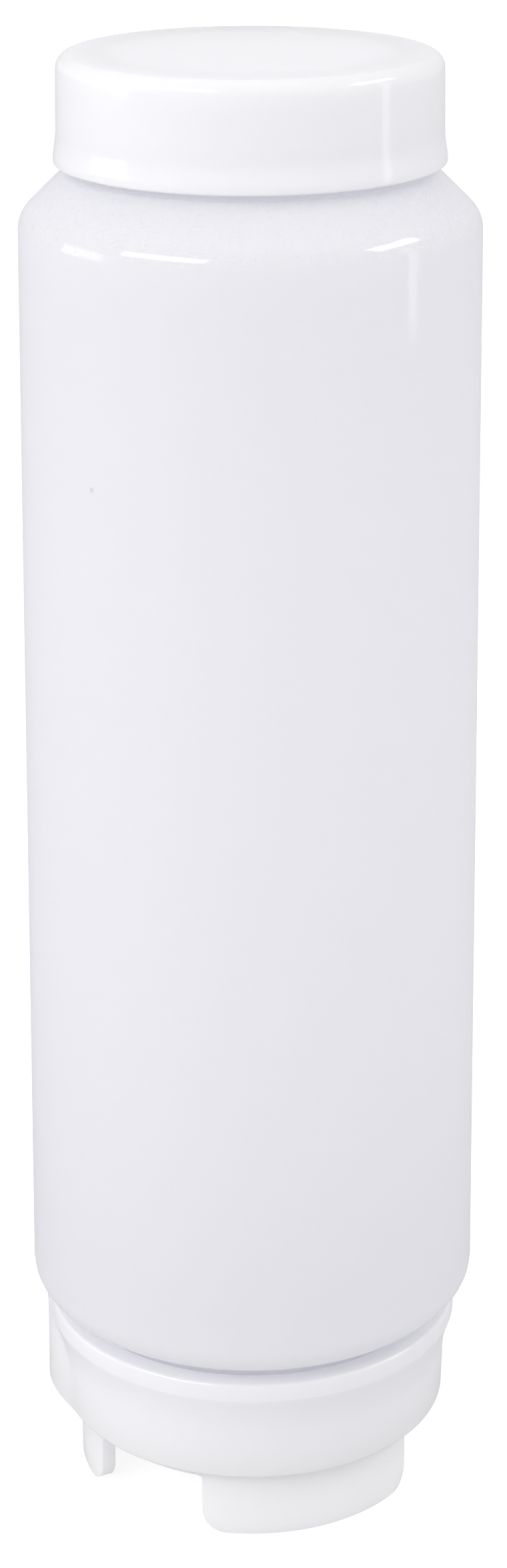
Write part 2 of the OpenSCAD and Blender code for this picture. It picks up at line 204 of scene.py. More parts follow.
floor_mesh.from_pydata(
    [(-FLOOR_HALF, -FLOOR_HALF, 0), (FLOOR_HALF, -FLOOR_HALF, 0),
     (FLOOR_HALF, FLOOR_HALF, 0), (-FLOOR_HALF, FLOOR_HALF, 0)], [], [(0, 1, 2, 3)])
floor = bpy.data.objects.new("floor", floor_mesh)
floor.data.materials.append(floor_paint)
scene.collection.objects.link(floor)


LAMPS_LOOK_AT = Vector((0, 0, 0.15))


def softbox(name, turn, rise, wide, tall, level, reach=3.0):
    """A lamp that looks at the bottle from turn degrees right of the camera, rise degrees up."""
    lamp = bpy.data.lights.new(name, "AREA")
    lamp.shape = "RECTANGLE"
    lamp.size = wide
    lamp.size_y = tall
    lamp.energy = level * wide * tall * math.pi
    turn = math.radians(turn) + camera_turn
    rise = math.radians(rise)
    back = Vector((math.sin(turn) * math.cos(rise), -math.cos(turn) * math.cos(rise),
                   math.sin(rise)))
    box = bpy.data.objects.new(name, lamp)
    scene.collection.objects.link(box)
    box.location = LAMPS_LOOK_AT + back * reach
    box.rotation_mode = "QUATERNION"
    box.rotation_quaternion = back.to_track_quat("Z", "Y")


softbox("key_softbox", -46, 31, 2.25, 0.65, 7.0)
softbox("side_softbox", 88, 38, 1.5, 0.56, 5.9)
softbox("low_fill", -90, 8, 1.5, 1.0, 1.8)
softbox("strip_lamp", 84, 10, 0.08, 0.5, 1.0, 0.8)


# Shells turned from an outline
# The moulded pieces are round, so each is turned from its outline: a row of corners that carry
# their own rounding. Outlines are in millimetres: radius, height, rounding.
SAME_SPOT = 1e-6
SMOOTH_ANGLE = 40
STEPS_AROUND = 224
CORNER_STEPS = 6


def lathe_tree():
    """Geometry nodes that round an outline's corners and turn it about the Z axis."""
    tree = bpy.data.node_groups.new("lathe", "GeometryNodeTree")
    for name, kind in (("Outline", "Geometry"), ("Steps around", "Int"), ("Corner steps", "Int"),
                       ("Closed outline", "Bool"), ("Plastic", "Material")):
        tree.interface.new_socket(name, in_out="INPUT", socket_type="NodeSocket" + kind)
    tree.interface.new_socket("Shell", in_out="OUTPUT", socket_type="NodeSocketGeometry")
    given = add(tree, "NodeGroupInput")
    outline = add(tree, "GeometryNodeMeshToCurve", None, given.out("Outline"))
    rounding = add(tree, "GeometryNodeInputNamedAttribute", {"data_type": "FLOAT"}, "rounding")
    outline = add(tree, "GeometryNodeFilletCurve", {"mode": "POLY"}, outline,
                  Count=given.out("Corner steps"), Radius=rounding, Limit_Radius=True)
    count = add(tree, "GeometryNodeAttributeDomainSize", {"component": "CURVE"}, outline)
    around = given.out("Steps around")
    sheet = add(tree, "GeometryNodeMeshGrid", None,
                Vertices_X=count + given.out("Closed outline"), Vertices_Y=around + 1)
    index = add(tree, "GeometryNodeInputIndex")
    column = (index / (around + 1)).math("FLOOR")
    angle = (index % (around + 1)) * math.tau / around
    place = add(tree, "GeometryNodeInputPosition")
    corner = add(tree, "GeometryNodeSampleIndex", {"data_type": "FLOAT_VECTOR"}, outline,
                 place, column % count)
    split = add(tree, "ShaderNodeSeparateXYZ", None, corner)
    radius = split.out("X")
    spot = add(tree, "ShaderNodeCombineXYZ", None, radius * angle.math("COSINE"),
               radius * angle.math("SINE"), split.out("Z"))
    shell = add(tree, "GeometryNodeSetPosition", None, sheet, None, spot)
    shell = add(tree, "GeometryNodeMergeByDistance", None, shell, Distance=SAME_SPOT)
    shell = add(tree, "GeometryNodeRealizeInstances", None, shell)
    shell = add(tree, "GeometryNodeSetMaterial", None, shell, None, given.out("Plastic"))
    add(tree, "NodeGroupOutput", None, shell)
    return tree


LATHE = lathe_tree()


def with_tree(made, tree, **inputs):
    """Runs a node tree on an object and keeps the plain mesh that comes out."""
    run = made.modifiers.new("tree", "NODES")
    run.node_group = tree
    for item in tree.interface.items_tree:
        key = item.name.replace(" ", "_")
        if key in inputs:
            run[item.identifier] = inputs[key]
    view = bpy.context.evaluated_depsgraph_get()
    mesh = bpy.data.meshes.new_from_object(made.evaluated_get(view))
    made.modifiers.clear()
    made.data = mesh
    return made


def tidy_faces(made, smooth_angle=SMOOTH_ANGLE):
    """Points the faces outwards and shades them smooth but for sharp edges."""
    work = bmesh.new()
    work.from_mesh(made.data)
    bmesh.ops.remove_doubles(work, verts=work.verts, dist=SAME_SPOT)
    bmesh.ops.recalc_face_normals(work, faces=work.faces)
    work.to_mesh(made.data)
    work.free()
    made.data.shade_smooth()
    made.data.set_sharp_from_angle(angle=math.radians(smooth_angle))
    return made


def turned(name, outline, closed, plastic, around=STEPS_AROUND):
    """A shell turned from an outline of (radius, height, rounding) corners in millimetres."""
    points = [(r * MM, 0, z * MM) for r, z, _ in outline]
    edges = [(i, i + 1) for i in range(len(points) - 1)]
    if closed:
        edges.append((len(points) - 1, 0))
    mesh = bpy.data.meshes.new(name)
    mesh.from_pydata(points, edges, [])
    rounding = mesh.attributes.new("rounding", "FLOAT", "POINT")
    rounding.data.foreach_set("value", [corner[2] * MM for corner in outline])
    made = bpy.data.objects.new(name, mesh)
    scene.collection.objects.link(made)
    made = with_tree(made, LATHE, Steps_around=around, Corner_steps=CORNER_STEPS,
                     Closed_outline=closed, Plastic=plastic)
    made.data.name = name
    return tidy_faces(made)


# White cap plastic
# Both caps, the flip cap and the retainer are moulded in white polypropylene: smooth and glossy,
# a little soft to the light, with a faint orange peel and hair scratches from the dishwasher.
CAP_THROUGH = 0.35
CAP_TONE = (0.960, 0.957, 0.977)
CAP_TONE_HIGH = (0.968, 0.965, 0.985)


def white_cap_plastic():
    """The material of the caps: Object coordinates carry its clouds, streaks and orange peel."""
    made, tree = material("white_polypropylene")
    place = add(tree, "ShaderNodeTexCoord").out("Object")
    cloud = add(tree, "ShaderNodeTexNoise", None, place, Scale=45.0, Detail=2.0)
    tone = add(tree, "ShaderNodeValToRGB",
               {"stops": [(0.3, CAP_TONE), (0.7, CAP_TONE_HIGH)]}, cloud)
    streaks = add(tree, "ShaderNodeVectorMath", {"operation": "MULTIPLY"}, place,
                  (70.0, 70.0, 2600.0))
    streaks = add(tree, "ShaderNodeTexNoise", None, streaks, Scale=1.0, Detail=3.0,
                  Distortion=0.6)
    rough = (streaks - 0.62).math("MAXIMUM", 0.0) * 0.6 + 0.15
    peel = add(tree, "ShaderNodeTexNoise", None, place, Scale=1100.0, Detail=1.5)
    bump = add(tree, "ShaderNodeBump", None, Strength=0.05, Distance=0.0002, Height=peel)
    shader = add(tree, "ShaderNodeBsdfPrincipled", None, Base_Color=tone, Roughness=rough,
                 IOR=1.49, Normal=bump, Subsurface_Weight=0.6,
                 Subsurface_Radius=(1.0, 1.0, 1.0), Subsurface_Scale=0.0015,
                 Coat_Weight=0.8, Coat_Roughness=0.05, Coat_IOR=1.7)
    through = add(tree, "ShaderNodeBsdfTranslucent", None, (*CAP_TONE_HIGH, 1))
    shader = add(tree, "ShaderNodeMixShader", None, CAP_THROUGH, shader, through)
    add(tree, "ShaderNodeOutputMaterial", None, shader)
    return made


cap_plastic = white_cap_plastic()


# Milky body plastic
# The body is blow moulded in low-density polyethylene, milky and translucent, with a satin skin.
# Its fine grain comes from the blasted mould and is coarse and frosty on the upper shoulder. The
# mould's parting line shows at both sides, and a scorched speck sits high in the wall.
BODY_THROUGH = 0.64
FROST_FROM = 0.2095
FROST_FADE = 0.003
SPECK_PLACE = (-0.02005, -0.03046, 0.175)
SPECK_R = 0.00035
PARTING_HALF = 0.0002
BODY_TONE = (0.942, 0.942, 0.960)
BODY_TONE_HIGH = (0.950, 0.950, 0.968)


def milky_body_plastic():
    """The material of the body: the frost, the speck and the parting line have their places."""
    made, tree = material("milky_polyethylene")
    place = add(tree, "ShaderNodeTexCoord").out("Object")
    cloud = add(tree, "ShaderNodeTexNoise", None, place, Scale=28.0, Detail=3.0)
    tone = add(tree, "ShaderNodeValToRGB",
               {"stops": [(0.3, BODY_TONE), (0.7, BODY_TONE_HIGH)]}, cloud)
    off = add(tree, "ShaderNodeVectorMath", {"operation": "DISTANCE"}, place, SPECK_PLACE)
    speck = (1.6 - off.out("Value") / SPECK_R).math("MAXIMUM", 0.0).math("MINIMUM", 1.0)
    tone = add(tree, "ShaderNodeVectorMath", {"operation": "SCALE"}, tone,
               Scale=1 - speck * 0.45)
    wave = add(tree, "ShaderNodeTexNoise", None, place, Scale=50.0, Detail=1.0)
    grain = add(tree, "ShaderNodeTexNoise", None, place, Scale=1500.0, Detail=2.0)
    split = add(tree, "ShaderNodeSeparateXYZ", None, place)
    seam = (1 - abs(split.out("Y")) / PARTING_HALF).math("MAXIMUM", 0.0)
    frosted = (split.out("Z") - FROST_FROM) / FROST_FADE
    frosted = frosted.math("MAXIMUM", 0.0).math("MINIMUM", 1.0)
    frost = add(tree, "ShaderNodeTexNoise", None, place, Scale=1500.0, Detail=1.0)
    frost = (frost - 0.5).math("MAXIMUM", 0.0) * frosted
    bump = add(tree, "ShaderNodeBump", None, Strength=0.3, Distance=0.0006, Height=wave)
    for strength, distance, height in (
            (0.12, 0.0001, grain), (0.3, 0.00005, seam), (0.8, 0.0006, frost)):
        bump = add(tree, "ShaderNodeBump", None, Strength=strength, Distance=distance,
                   Height=height, Normal=bump)
    shader = add(tree, "ShaderNodeBsdfPrincipled", None, Base_Color=tone,
                 Roughness=grain * 0.12 + 0.1, IOR=1.51, Normal=bump,
                 Subsurface_Weight=1.0, Subsurface_Radius=(1.0, 1.0, 1.0),
                 Subsurface_Scale=0.0016, Coat_Weight=1.0, Coat_Roughness=0.06,
                 Coat_IOR=2.1)
    through = add(tree, "ShaderNodeBsdfTranslucent", None, (*BODY_TONE_HIGH, 1))
    shader = add(tree, "ShaderNodeMixShader", None, BODY_THROUGH, shader, through)
    add(tree, "ShaderNodeOutputMaterial", None, shader)
    return made


body_plastic = milky_body_plastic()


# Silicone
# The seals and the valve are pressed from clear-white silicone rubber, which is soft, matt and a
# little dusty.
SILICONE_TONE = (0.74, 0.76, 0.78)
SILICONE_TONE_HIGH = (0.80, 0.81, 0.83)


def milky_silicone():
    """The material of the seals and the valve."""
    made, tree = material("milky_silicone")
    place = add(tree, "ShaderNodeTexCoord").out("Object")
    cloud = add(tree, "ShaderNodeTexNoise", None, place, Scale=220.0, Detail=3.0)
    tone = add(tree, "ShaderNodeValToRGB",
               {"stops": [(0.35, SILICONE_TONE), (0.65, SILICONE_TONE_HIGH)]}, cloud)
    grain = add(tree, "ShaderNodeTexNoise", None, place, Scale=2600.0, Detail=2.0)
    bump = add(tree, "ShaderNodeBump", None, Strength=0.2, Distance=0.0001, Height=grain)
    shader = add(tree, "ShaderNodeBsdfPrincipled", None, Base_Color=tone,
                 Roughness=grain * 0.2 + 0.42, IOR=1.41, Normal=bump,
                 Subsurface_Weight=1.0, Subsurface_Radius=(1.0, 1.0, 1.0),
                 Subsurface_Scale=0.0012)
    add(tree, "ShaderNodeOutputMaterial", None, shader)
    return made


silicone = milky_silicone()


# Ground steel
# The hinge pin is cut from centreless-ground stainless wire, which keeps fine rings round it.
STEEL_TONE = (0.50, 0.51, 0.53)
STEEL_TONE_HIGH = (0.62, 0.62, 0.63)


def ground_steel():
    """The material of the hinge pin: its rings lie across Y, along which the pin runs."""
    made, tree = material("ground_steel")
    place = add(tree, "ShaderNodeTexCoord").out("Object")
    rings = add(tree, "ShaderNodeVectorMath", {"operation": "MULTIPLY"}, place,
                (200.0, 9000.0, 200.0))
    rings = add(tree, "ShaderNodeTexNoise", None, rings, Scale=1.0, Detail=3.0)
    tone = add(tree, "ShaderNodeValToRGB",
               {"stops": [(0.3, STEEL_TONE), (0.7, STEEL_TONE_HIGH)]}, rings)
    bump = add(tree, "ShaderNodeBump", None, Strength=0.1, Distance=0.00005, Height=rings)
    shader = add(tree, "ShaderNodeBsdfPrincipled", None, Base_Color=tone, Metallic=1.0,
                 Roughness=rings * 0.25 + 0.2, Normal=bump)
    add(tree, "ShaderNodeOutputMaterial", None, shader)
    return made


steel = ground_steel()


# Dispensing cap
# Screw cap of white polypropylene at the lower end: a bead round its mouth, a short taper, a
# smooth wall, and a lug at the left that carries the flip cap's hinge.
level = {name: [corner.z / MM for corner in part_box(name)] for name in nodes}
reach = {name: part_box(name)[1].x / MM for name in nodes}
rim_z = level["dispensing_cap"][0]
mouth_z = level["dispensing_cap"][1]
floor_z = level["dispensing_cap_seal"][0]
neck_lo_z, neck_hi_z = level["bottle_body"]
bead_r = reach["dispensing_cap"]
cap_r = 31.8
taper_r = 32.2
bore_r = 30.1
hole_r = 9.0
collar_in_r = 12.3
collar_out_r = 14.0
snap_r = 12.0
snap_z = 17.2
snap_top_z = 18.1
locator_out_r = 25.9
locator_in_r = 24.5
locator_h = 3.0
fill_r = 28.9
fill_z = 16.65
BEAD_H = 2.9
TAPER_H = 4.0
LUG_HALF = 7.0
LUG_FADE = 24.0
LUG_BLEND = 1.5
LUG_STEPS = 360
FILL_FADE = 7.0
SLOT_HALF = 4.3
SLOT_LOW = -7.2
SLOT_LEFT = -14.4
CEILING_LEN = 7.2
OPEN_TURN = -170       # degrees by which the flip cap opens, seen from the front
WEB_TURN = -120        # degrees round the pin to where the knuckle's web leaves it
PIN_LEN = 13.0
BORE_END = 18.0
lug_r = -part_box("dispensing_cap")[0].x / MM
knuckle_r = 1.8
slot_r = 2.1
pin_r = 0.75
pin_run = 0.05
pin_x = bead_r - knuckle_r
pin_z = rim_z + knuckle_r
# The threads' sizes, which both necks and both caps share
THREAD_PITCH = 4.2
THREAD_DEPTH = 1.2
THREAD_SINK = 0.4      # how far a ridge reaches into its wall
THREAD_ROOT = 2.3
THREAD_CREST = 1.1
THREAD_EDGE = 0.25
THREAD_FADE = 30.0     # degrees over which a ridge runs out
THREAD_TIP = 0.05      # share of the section that is left at its very end
THREAD_STEPS = 60
THREAD_TOP = 1.75      # how far the neck's ridge stays below the neck's end
FLANK_OFFSET = 1.75    # how far the cap's ridge lies below the neck's, flank on flank
CAP_TURNS = 1.25
CAP_THREAD_LOW = 2.15  # how far the cap's ridge starts above the cap's mouth, at the least
CAP_THREAD_STEP = 10   # degrees


def stand_for(made, body, node_name):
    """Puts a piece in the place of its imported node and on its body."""
    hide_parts(node_name)
    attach(made, body)


def merged(made, operation, others):
    """Adds closed tools to a piece, or cuts them away, and keeps the plain mesh that comes out."""
    for other in others:
        step = made.modifiers.new(operation, "BOOLEAN")
        step.operation = operation
        step.solver = "EXACT"
        step.object = other
    view = bpy.context.evaluated_depsgraph_get()
    mesh = bpy.data.meshes.new_from_object(made.evaluated_get(view))
    made.modifiers.clear()
    plastic = next(filter(None, made.data.materials))
    made.data = mesh
    mesh.materials.clear()
    mesh.materials.append(plastic)
    mesh.polygons.foreach_set("material_index", [0] * len(mesh.polygons))
    for other in others:
        bpy.data.objects.remove(other)
    return made


def smooth_fade(offset, full, fade):
    """1 within full of zero, falling smoothly to 0 over the next fade."""
    part = min(1.0, max(0.0, (full + fade - abs(offset)) / fade))
    return part * part * (3 - 2 * part)


def hinge_prism(name, outline, front, back, bevel=0.0):
    """A solid that runs across the hinge, in millimetres: its outline is given as (x, z) from
    the pin and runs from y = front to y = back."""
    work = bmesh.new()
    ring = [work.verts.new(((x - pin_x) * MM, front * MM, (z + pin_z) * MM))
            for x, z in outline]
    grown = bmesh.ops.extrude_face_region(work, geom=[work.faces.new(ring)])
    moved = [part for part in grown["geom"] if isinstance(part, bmesh.types.BMVert)]
    bmesh.ops.translate(work, verts=moved, vec=(0, (back - front) * MM, 0))
    if bevel:
        rims = [edge for edge in work.edges
                if abs(edge.verts[0].co.y - edge.verts[1].co.y) < SAME_SPOT / 10]
        bmesh.ops.bevel(work, geom=rims, offset=bevel * MM, segments=2, profile=0.5,
                        affect="EDGES")
    bmesh.ops.recalc_face_normals(work, faces=work.faces)
    mesh = bpy.data.meshes.new(name)
    work.to_mesh(mesh)
    work.free()
    made = bpy.data.objects.new(name, mesh)
    scene.collection.objects.link(made)
    return made


def arc_points(radius, start, end, steps):
    """Points (x, z) on an arc about the pin, from start to end degrees."""
    turns = [math.radians(start + (end - start) * i / steps) for i in range(steps + 1)]
    return [(radius * math.cos(turn), radius * math.sin(turn)) for turn in turns]


def ridge_tree():
    """Geometry nodes that sweep a thread's section along a helix, with a run-out at both ends."""
    tree = bpy.data.node_groups.new("thread_ridge", "GeometryNodeTree")
    for name, kind in (("Radius", "Float"), ("Turns", "Float"), ("Start", "Float"),
                       ("Height", "Float"), ("Lean", "Float"), ("Plastic", "Material")):
        tree.interface.new_socket(name, in_out="INPUT", socket_type="NodeSocket" + kind)
    tree.interface.new_socket("Ridge", in_out="OUTPUT", socket_type="NodeSocketGeometry")
    given = add(tree, "NodeGroupInput")
    radius = given.out("Radius")
    turns = given.out("Turns")
    path = add(tree, "GeometryNodeCurveSpiral", None, THREAD_STEPS, turns, radius, radius,
               turns * (THREAD_PITCH * MM), True)
    path = add(tree, "GeometryNodeSetCurveNormal", {"mode": "Z_UP"}, path)
    section = add(tree, "GeometryNodeCurvePrimitiveQuadrilateral", {"mode": "TRAPEZOID"},
                  Height=(THREAD_DEPTH + THREAD_SINK) * MM, Bottom_Width=THREAD_ROOT * MM,
                  Top_Width=THREAD_CREST * MM, Offset=0.0)
    section = add(tree, "GeometryNodeFilletCurve", {"mode": "POLY"}, section, Count=3,
                  Radius=THREAD_EDGE * MM, Limit_Radius=True)
    section = add(tree, "GeometryNodeTransform", None, section,
                  Translation=(0, (THREAD_DEPTH - THREAD_SINK) / 2 * MM, 0))
    lean = add(tree, "ShaderNodeCombineXYZ", None, 0.0, 0.0, given.out("Lean"))
    section = add(tree, "GeometryNodeTransform", None, section, Rotation=lean)
    along = add(tree, "GeometryNodeSplineParameter")
    full = along.math("MINIMUM", 1 - along) * turns * (360 / THREAD_FADE)
    full = full.math("MINIMUM", 1.0).math("MAXIMUM", THREAD_TIP)
    ridge = add(tree, "GeometryNodeCurveToMesh", None, path, section, full, True)
    turn = add(tree, "ShaderNodeCombineXYZ", None, 0.0, 0.0, given.out("Start"))
    rise = add(tree, "ShaderNodeCombineXYZ", None, 0.0, 0.0, given.out("Height"))
    ridge = add(tree, "GeometryNodeTransform", None, ridge, Translation=rise, Rotation=turn)
    ridge = add(tree, "GeometryNodeRealizeInstances", None, ridge)
    ridge = add(tree, "GeometryNodeSetMaterial", None, ridge, None, given.out("Plastic"))
    add(tree, "NodeGroupOutput", None, ridge)
    return tree


RIDGE = ridge_tree()


def thread(radius, outwards, start, turns, height, plastic):
    """A thread ridge on a wall of this radius, in millimetres; start in degrees."""
    made = bpy.data.objects.new("ridge", bpy.data.meshes.new("ridge"))
    scene.collection.objects.link(made)
    lean = math.radians(-90 if outwards else 90)
    return with_tree(made, RIDGE, Radius=radius * MM, Turns=turns, Start=math.radians(start),
                     Height=height * MM, Lean=lean, Plastic=plastic)


def cap_thread(radius, depth, plastic):
    """The matching thread in a cap whose mouth lies depth below the neck's end."""
    low = CAP_THREAD_LOW - depth
    per_step = THREAD_PITCH * CAP_THREAD_STEP / 360
    start = CAP_THREAD_STEP * math.ceil((low + FLANK_OFFSET + THREAD_TOP) / per_step)
    height = THREAD_PITCH * start / 360 - THREAD_TOP - FLANK_OFFSET
    return thread(radius, False, start, CAP_TURNS, height, plastic)


def set_at(made, matrix):
    """Moves a tool's mesh, so that its object stays at the origin."""
    made.data.transform(matrix)
    made.data.update()
    return made


dispensing_outline = [
    (hole_r, rim_z, 0.3), (cap_r, rim_z, 0.8), (taper_r, mouth_z - BEAD_H - TAPER_H, 20.0),
    (bead_r, mouth_z - BEAD_H, 0.7), (bead_r, mouth_z, 0.5), (bore_r, mouth_z, 0.5),
    (bore_r, fill_z + 0.4, 0.05), (bore_r, fill_z, 0.05), (bore_r, floor_z, 0.8),
    (locator_out_r, floor_z, 0.2), (locator_out_r, floor_z + locator_h, 0.4),
    (locator_in_r, floor_z + locator_h, 0.4), (locator_in_r, floor_z, 0.4),
    (collar_out_r, floor_z, 0.4), (collar_out_r, snap_top_z, 0.4), (snap_r, snap_top_z, 0.3),
    (snap_r, snap_z, 0.1), (collar_in_r, snap_z, 0.1), (collar_in_r, floor_z, 0.1),
    (hole_r, floor_z, 0.2)]
dispensing = turned("dispensing_cap_shell", dispensing_outline, True, cap_plastic, LUG_STEPS)
# The wall is pushed out into the lug: its plan is a blend of a straight and a soft fade, and the
# bore behind it is filled, so that the slot for the knuckle stays closed inside.
for vert in dispensing.data.vertices:
    x, y, z = (value / MM for value in vert.co)
    r = math.hypot(x, y)
    turn = math.degrees(math.atan2(y, -x))
    share = min(1.0, max(0.0, (LUG_HALF + LUG_FADE - abs(turn)) / LUG_FADE))
    share = 0.5 * share + 0.5 * smooth_fade(turn, LUG_HALF, LUG_FADE)
    plan = cap_r + (lug_r - cap_r) * share
    push = 0.0
    if z < rim_z + 1 and r > cap_r - 0.9:
        push = plan - cap_r
    elif z > rim_z + 1 and r > cap_r - 0.1:
        wall = bead_r if z > mouth_z - 1 else r
        near = max(0.0, LUG_BLEND * share - abs(plan - wall))
        push = max(wall, plan) - wall + near ** 2 / (4 * LUG_BLEND)
    elif r > fill_r and z < fill_z + 0.2:
        push = (fill_r - bore_r) * smooth_fade(turn, LUG_HALF + LUG_FADE - FILL_FADE, FILL_FADE)
    vert.co.xy *= 1 + push / r
# The slot's ceiling lies where the knuckle's web comes to rest with the flip cap fully open.
web_low = arc_points(knuckle_r, 0, WEB_TURN, 1)[1]
web_foot = (knuckle_r + 0.5, -3.35)
opened = Matrix.Rotation(math.radians(OPEN_TURN), 2)
slant = opened @ (Vector(web_foot) - Vector(web_low))
ceiling = opened @ Vector(web_low) * slot_r / knuckle_r
ceiling_end = ceiling + slant.normalized() * CEILING_LEN
slot_outline = [(slot_r, SLOT_LOW)]
slot_outline += arc_points(slot_r, 0, math.degrees(math.atan2(*ceiling.yx)), 8)
slot_outline += [tuple(ceiling_end), (SLOT_LEFT, SLOT_LOW)]
slot = hinge_prism("slot", slot_outline, -SLOT_HALF, SLOT_HALF)
pin_bore = hinge_prism("bore", arc_points(pin_r + pin_run, 0, 350, 35),
                       -PIN_LEN / 2 - pin_run, BORE_END)
ridge = set_at(cap_thread(bore_r, mouth_z - neck_lo_z, cap_plastic),
               Matrix.Translation((0, 0, neck_lo_z * MM)) @ Matrix.Rotation(math.pi, 4, "X"))
merged(dispensing, "UNION", [ridge])
merged(dispensing, "DIFFERENCE", [slot, pin_bore])
tidy_faces(dispensing)
stand_for(dispensing, "dispensing_end", "dispensing_cap")


# Portion valve
# Pressed silicone: a flange clamped in the cap's collar and a thin dome, cut by two crossed slits
# that open when the bottle is squeezed.
flange_r = 12.0
flange_t = 1.2
dome_r = 8.4
dome_t = 0.8
sag = 1.0
ball_r = (dome_r ** 2 + sag ** 2) / (2 * sag)
DOME_STEPS = 8
VALVE_STEPS = 96
SLIT_SIZE = (9.0, 0.25, 5.0)


def dome_points(radius):
    """The dome's outline on a ball of this radius, from the middle to its edge."""
    turns = [math.asin(dome_r / ball_r) * i / DOME_STEPS for i in range(DOME_STEPS + 1)]
    return [(radius * math.sin(turn), floor_z - sag + ball_r - radius * math.cos(turn), 0)
            for turn in turns]


valve_outline = dome_points(ball_r) + [
    (flange_r, floor_z, 0.15), (flange_r, floor_z + flange_t, 0.15),
    (dome_r + 0.1, floor_z + flange_t, 0.3)] + dome_points(ball_r - dome_t)[::-1]
valve = turned("valve_disc", valve_outline, False, silicone, VALVE_STEPS)
slits = []
for turn in (45, 135):
    cut = bmesh.new()
    bmesh.ops.create_cube(cut, size=MM)
    bmesh.ops.scale(cut, vec=SLIT_SIZE, verts=cut.verts)
    slit_mesh = bpy.data.meshes.new("slit")
    cut.to_mesh(slit_mesh)
    cut.free()
    slit = bpy.data.objects.new("slit", slit_mesh)
    scene.collection.objects.link(slit)
    slits.append(set_at(slit, Matrix.Translation((0, 0, floor_z * MM))
                        @ Matrix.Rotation(math.radians(turn), 4, "Z")))
merged(valve, "DIFFERENCE", slits)
tidy_faces(valve)
stand_for(valve, "dispensing_end", "portion_valve")


# Valve retainer
# Ring of white polypropylene that snaps under the collar's lip and clamps the valve's flange. Its
# funnel leads the sauce to the valve.
clamp_z, clamp_top_z = level["valve_retainer"]
retainer_in_r = 8.7
retainer_out_r = 12.2
funnel_r = 10.45
funnel_z = clamp_z + 1.25
RING_STEPS = 160
retainer_outline = [
    (retainer_in_r, clamp_z, 0.2), (retainer_out_r, clamp_z, 0.2),
    (retainer_out_r, clamp_top_z, 0.5), (funnel_r, clamp_top_z, 0.3),
    (retainer_in_r, funnel_z, 0.4)]
retainer = turned("retainer_ring", retainer_outline, True, cap_plastic, RING_STEPS)
stand_for(retainer, "dispensing_end", "valve_retainer")


# Hinge pin
# Stainless wire, cut to length with broken ends. It is pushed in from behind, through the lug and
# the flip cap's knuckle, into a bore that ends short of the lug's front.
PIN_EDGE = 0.25
PIN_STEPS = 48
pin_outline = [(0, 0, 0), (pin_r, 0, PIN_EDGE), (pin_r, PIN_LEN, PIN_EDGE), (0, PIN_LEN, 0)]
pin = turned("pin_shaft", pin_outline, False, steel, PIN_STEPS)
set_at(pin, Matrix.Translation((-pin_x * MM, PIN_LEN / 2 * MM, pin_z * MM))
       @ Matrix.Rotation(math.pi / 2, 4, "X"))
stand_for(pin, "dispensing_end", "hinge_pin")


# Flip cap
# Moulded in one piece: a plate with a plug ring that closes the valve's opening, three curved feet
# with rounded corners, a thumb lip opposite the hinge and the knuckle that turns on the pin.
lid_r = 28.85
foot_in_r = 26.45
lid_z = 11.4
FOOT_H = 9.7
UNDER_Z = 10.0
FEET_AT = (60, 180, 300)
FOOT_HALF = 38.5       # degrees, as are LIP_HALF, LIP_FADE and STEP
FOOT_CORNER = 3.8
GAP_CORNER = 0.8
LIP_TOP = 11.1
LIP_HALF = 13.0
LIP_OUT = 1.5
LIP_FADE = 3.5
LIP_THIN = 0.75
EDGE = 0.25
SHARP_TURN = 0.6
STEP = 2.2
CORNER_PARTS = 7
FLIP_CAP_SMOOTH = 35
KNUCKLE_HALF = 4.0
KNUCKLE_EDGE = 0.2
plug_r = 8.7
plug_in_r = 6.6
PLUG_TOP = 12.6
PLUG_FLOOR = 12.0
DIMPLE_R = 7.1
DIMPLE_Z = 10.85
per_mm = math.degrees(1 / lid_r)
# The lower edge of the feet and gaps runs round as (turn in degrees, height): from a gap up to the
# foot's side, round its lower corner, along its underside, and the same way back.
edge_columns = []
for i in range(CORNER_PARTS):
    phi = math.pi / 2 * i / CORNER_PARTS
    edge_columns.append((-GAP_CORNER * (1 - math.sin(phi)) * per_mm,
                         FOOT_H - GAP_CORNER * (1 - math.cos(phi))))
edge_columns.append((0, FOOT_H - GAP_CORNER))
for i in range(CORNER_PARTS + 1):
    phi = math.pi / 2 * i / CORNER_PARTS
    edge_columns.append((FOOT_CORNER * (1 - math.cos(phi)) * per_mm,
                         FOOT_CORNER * (1 - math.sin(phi))))
columns = []
for foot in FEET_AT:
    columns += [(foot - FOOT_HALF + turn, z) for turn, z in edge_columns]
    inner = FOOT_HALF - FOOT_CORNER * per_mm
    count = round(2 * inner / STEP)
    columns += [(foot - inner + 2 * inner * i / count, 0.0) for i in range(1, count)]
    columns += [(foot + FOOT_HALF - turn, z) for turn, z in reversed(edge_columns)]
    open_from = foot + FOOT_HALF + GAP_CORNER * per_mm
    open_to = foot + 120 - FOOT_HALF - GAP_CORNER * per_mm
    count = round((open_to - open_from) / STEP)
    columns += [(open_from + (open_to - open_from) * i / count, FOOT_H)
                for i in range(1, count)]
work = bmesh.new()
known = {}


def spot(turn, r, z):
    """The flip cap's vertex at this turn, radius and height, made once."""
    key = (round(turn % 360, 3) if r else 0, round(r, 4), round(z, 4))
    if key not in known:
        angle = math.radians(turn)
        known[key] = work.verts.new(
            (r * math.cos(angle) * MM, r * math.sin(angle) * MM, z * MM))
    return known[key]


def face(*corners):
    """A face of the distinct corners, or none if fewer than three are left."""
    kept = [corner for i, corner in enumerate(corners) if corner not in corners[:i]]
    return work.faces.new(kept) if len(kept) > 2 else None


